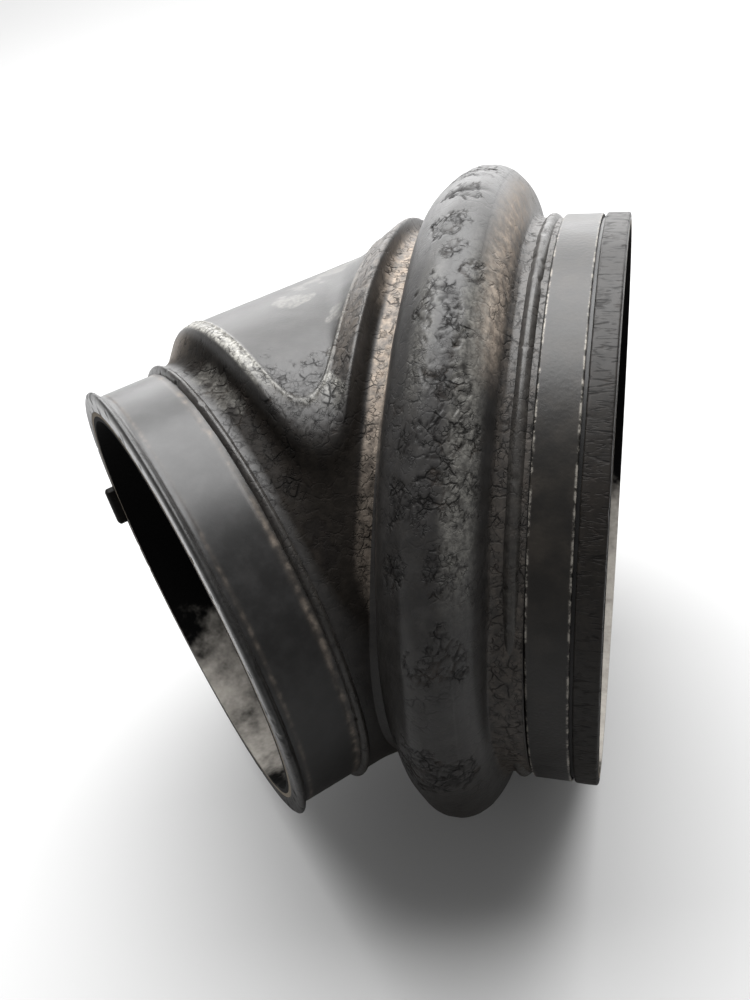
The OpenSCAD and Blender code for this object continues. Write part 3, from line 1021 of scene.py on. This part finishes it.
def band_paint(name):
    """Black paint, darkened as painted shade and duller low down, and chipped along the band's edges."""
    material, shader, mark = new_material(name)
    place = place_mm(mark)
    chipped = (mark("worn") * place.noise(0.3, 4.0, 0.75).over(0.44, 0.6)).least(1.0)
    dirt = place.noise(0.12, 3.0).over(0.35, 0.8)
    low = lowness(place)
    # Painted shade: the paint turns darker low down.
    paint = low.blend(dirt.blend(*paint_browns), band_shade_black)
    colour = chipped.blend(paint, bare_steel)
    rough = 0.31 + 0.1 * dirt + 0.15 * chipped + 0.25 * low
    peel = place.noise(0.85, 1.5, 0.4)
    bloom = (1 - 0.85 * low) * (1 - chipped)
    finish_with(shader, colour, rough, peel, 0.16, chipped * 0.6, bloom=bloom, satin=0.38)
    return material


def band_dents(net):
    return 0.05 * soft_noise(net, 5, 61) + 0.06 * soft_noise(net, 30, 62)


def band_marks(net):
    """Worn along both edges."""
    at = net[..., 0]
    left_edge = 1 - ease(at, band_left + 0.1, band_left + 0.9)
    return {"worn": left_edge + ease(at, band_right - 0.9, band_right - 0.1)}


ring_piece(
    "steel_band", rounded(band_left, band_right, 105.75, band_r, 0.5), turn_main, band_paint("band_paint"),
    "collar", ["clamp_band"], band_dents, band_marks)

# %% [markdown]
# ## The small cuff
# A hose clamp sits on this cuff, so its seat is smooth, and beads stand at both its ends. Thin rusty lines
# beside the beads show where an old clamp sat. Cuff and mouth bead are one turned section, since they are
# one piece of rubber. The stop bead is a ring of its own, because the elbow's net ends under it.

# %% Small cuff
seat_r, cuff_inner_r = 83.9, 79.7
cuff = [(cuff_s, 84.2), (78.6, 84.1), (79.4, seat_r), (100.4, seat_r), (101.0, 84.3), (101.4, 85.6),
        (102.0, 86.4), (102.6, 86.7), (103.2, 86.5), (103.7, 85.8), (104.0, 84.8), (104.0, cuff_inner_r)]
cuff_net = np.concatenate([even(cuff, 0.5), [(at, cuff_inner_r) for at in (100, 90, cuff_s)]])
stop = [(75.5, 82.5), (75.6, 84.6), (76.1, 85.7), (77.0, 86.4), (77.9, 86.2), (78.6, 85.3),
        (78.95, 84.2), (79.0, 82.5)]
cuff_columns = 900


def cuff_shape(net):
    """Soft dents, a shallow line at each end of the seat, and nicks in the mouth bead."""
    along = (net - pivot) @ to_small
    bead = ease(along, 100.8, 102)
    dents = 0.10 * soft_noise(net, 25, 71) + 0.03 * soft_noise(net, 7, 72)
    lines = -0.12 * np.exp(-(((along - 80.6) / 0.5) ** 2)) - 0.10 * np.exp(-(((along - 99.2) / 0.45) ** 2))
    return dents + lines - 0.3 * bead * ease(soft_noise(net, 3.5, 73), 0.5, 0.8)


def cuff_marks(net):
    """Crazed beside the seat, and rusty grit along both of its lines."""
    along = (net - pivot) @ to_small
    seat = ease(along, 79, 80) * (1 - ease(along, 99.5, 101))
    rust = 0.8 * np.exp(-(((along - 80.3) / 1.1) ** 2)) + 0.45 * np.exp(-(((along - 98.6) / 0.7) ** 2))
    grit = rust * (0.3 + 0.7 * ease(soft_noise(net, 2.0, 74) + 0.5 * soft_noise(net, 12, 75), -0.3, 0.5))
    return {"crazed": 0.35 * (1 - seat), "dust": np.clip(0.5 * grit, 0, 1), "worn": 0.02 * (1 - seat)}


cuff_rubber = skin_rubber("cuff_rubber", (0.009, 0.0088, 0.0088), 0.27, (0.3, 0.8), 0.45)
ring_piece(
    "cuff_skin", cuff_net, turn_small, cuff_rubber, "elbow", ["small_mouth_bead"],
    cuff_shape, cuff_marks, cuff_columns)
ring_piece(
    "stop_bead_skin", smoothed(even(stop, 0.3), 2), turn_small, bead_rubber, "elbow",
    ["small_stop_bead"], nicked(0.4, 3.2, 81), same_all_over(crazed=0.4, dust=0.03, worn=0.03), cuff_columns)

# %% [markdown]
# ## The locating lug
# A small tab on the small mouth probably shows which way round the joint goes. Its outline is an
# oblong between an ellipse and a box, drawn out in steps and shrunk a little at its tip, which rounds all
# its edges at once.


# %% Locating lug
def lug_block():
    """A small block with rounded edges on the small mouth's face."""
    mid_r, angle = 83.4, math.radians(-3.5)
    foot_s, length, half_width, half_height = 103.6, 4.35, 9.0, 2.45
    radial = math.cos(angle) * outward + math.sin(angle) * up
    side = np.cross(to_small, radial)
    a = np.linspace(0, 2 * math.pi, 48, endpoint=False)
    rows = []
    for t in np.linspace(0, 1, 14):
        shrink = 1.1 * max(0.0, (t - 0.72) / 0.28) ** 2
        w = np.abs(np.cos(a)) ** 0.25 * np.sign(np.cos(a)) * (half_width - shrink)
        h = np.abs(np.sin(a)) ** 0.3 * np.sign(np.sin(a)) * (half_height - shrink)
        middle = pivot + (foot_s + length * t) * to_small
        rows.append(middle + (mid_r + h)[:, None] * radial + w[:, None] * side)
    centre_top = rows[-1].mean(0)
    rows += [centre_top + (rows[-1] - centre_top) * k for k in (0.6, 0.02)]
    centre_low = rows[0].mean(0)
    rows.append(centre_low + (rows[0] - centre_low) * 0.02)
    return np.array(rows)


lug_net = lug_block()
lug = piece("lug_skin", lug_net, bead_rubber, "elbow", marks=same_all_over(crazed=0.2, worn=0.0)(lug_net))
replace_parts(lug, "locating_lug")

# %% [markdown]
# ## Floor, light and camera
# Black rubber is told by what it reflects. A small lamp would give it hard spots, and an even white room
# would turn it flat grey. So the room is dim, and two large soft panels do the work: one high behind the
# part, which draws the long bright bands, and one above it. The floor is plain and
# pale.

# %% Stage
floor_gap = 0.0002
floor_grey, room_light = 0.41, 0.34
floor_z = -crest_r * MM - floor_gap
mesh = bpy.data.meshes.new("floor")
corners = [(-4, -2, floor_z), (4, -2, floor_z), (4, 6, floor_z), (-4, 6, floor_z)]
mesh.from_pydata(corners, [], [(0, 1, 2, 3)])
floor = bpy.data.objects.new("floor", mesh)
bpy.context.scene.collection.objects.link(floor)
floor_look, shader, _ = new_material("floor_white")
shader.inputs["Base Color"].default_value = (floor_grey, floor_grey, floor_grey, 1)
shader.inputs["Roughness"].default_value = 0.9
mesh.materials.append(floor_look)

world = bpy.data.worlds.new("studio")
bpy.context.scene.world = world
world.use_nodes = True
background = world.node_tree.nodes["Background"]
background.inputs["Color"].default_value = (1, 1, 1, 1)
background.inputs["Strength"].default_value = room_light


def soft_light(name, at, towards, width, height, watts):
    lamp = bpy.data.lights.new(name, "AREA")
    lamp.shape, lamp.size, lamp.size_y, lamp.energy = "RECTANGLE", width, height, watts
    holder = bpy.data.objects.new(name, lamp)
    bpy.context.scene.collection.objects.link(holder)
    holder.location = at
    holder.rotation_mode = "QUATERNION"
    holder.rotation_quaternion = (Vector(towards) - Vector(at)).to_track_quat("-Z", "Y")


soft_light("back_panel", (-0.3, 2.6, 1.0), (-0.1, 0, 0.1), 4.4, 2.2, 98)
soft_light("top_panel", (-0.2, 0.44, 1.35), (-0.1, 0, 0), 1.7, 1.3, 74)

camera = bpy.data.cameras.new("camera")
camera.lens, camera.sensor_width, camera.sensor_fit = 33.29, 36, "AUTO"
camera.clip_start, camera.clip_end = 0.01, 20
holder = bpy.data.objects.new("camera", camera)
bpy.context.scene.collection.objects.link(holder)
camera_at = (0.005192, -0.278798, 0.247616)
look = Vector((-0.26560, 0.71143, -0.65063))
right = Vector((0.96250, 0.23434, -0.13668))
upward = Vector((-0.05523, 0.66253, 0.74699))
turned = Matrix((right, upward, -look)).transposed().to_4x4()
holder.matrix_world = Matrix.Translation(camera_at) @ turned
bpy.context.scene.camera = holder
bpy.context.scene.view_settings.view_transform = "Standard"
print("camera at", camera_at, "floor at", round(floor_z, 4))
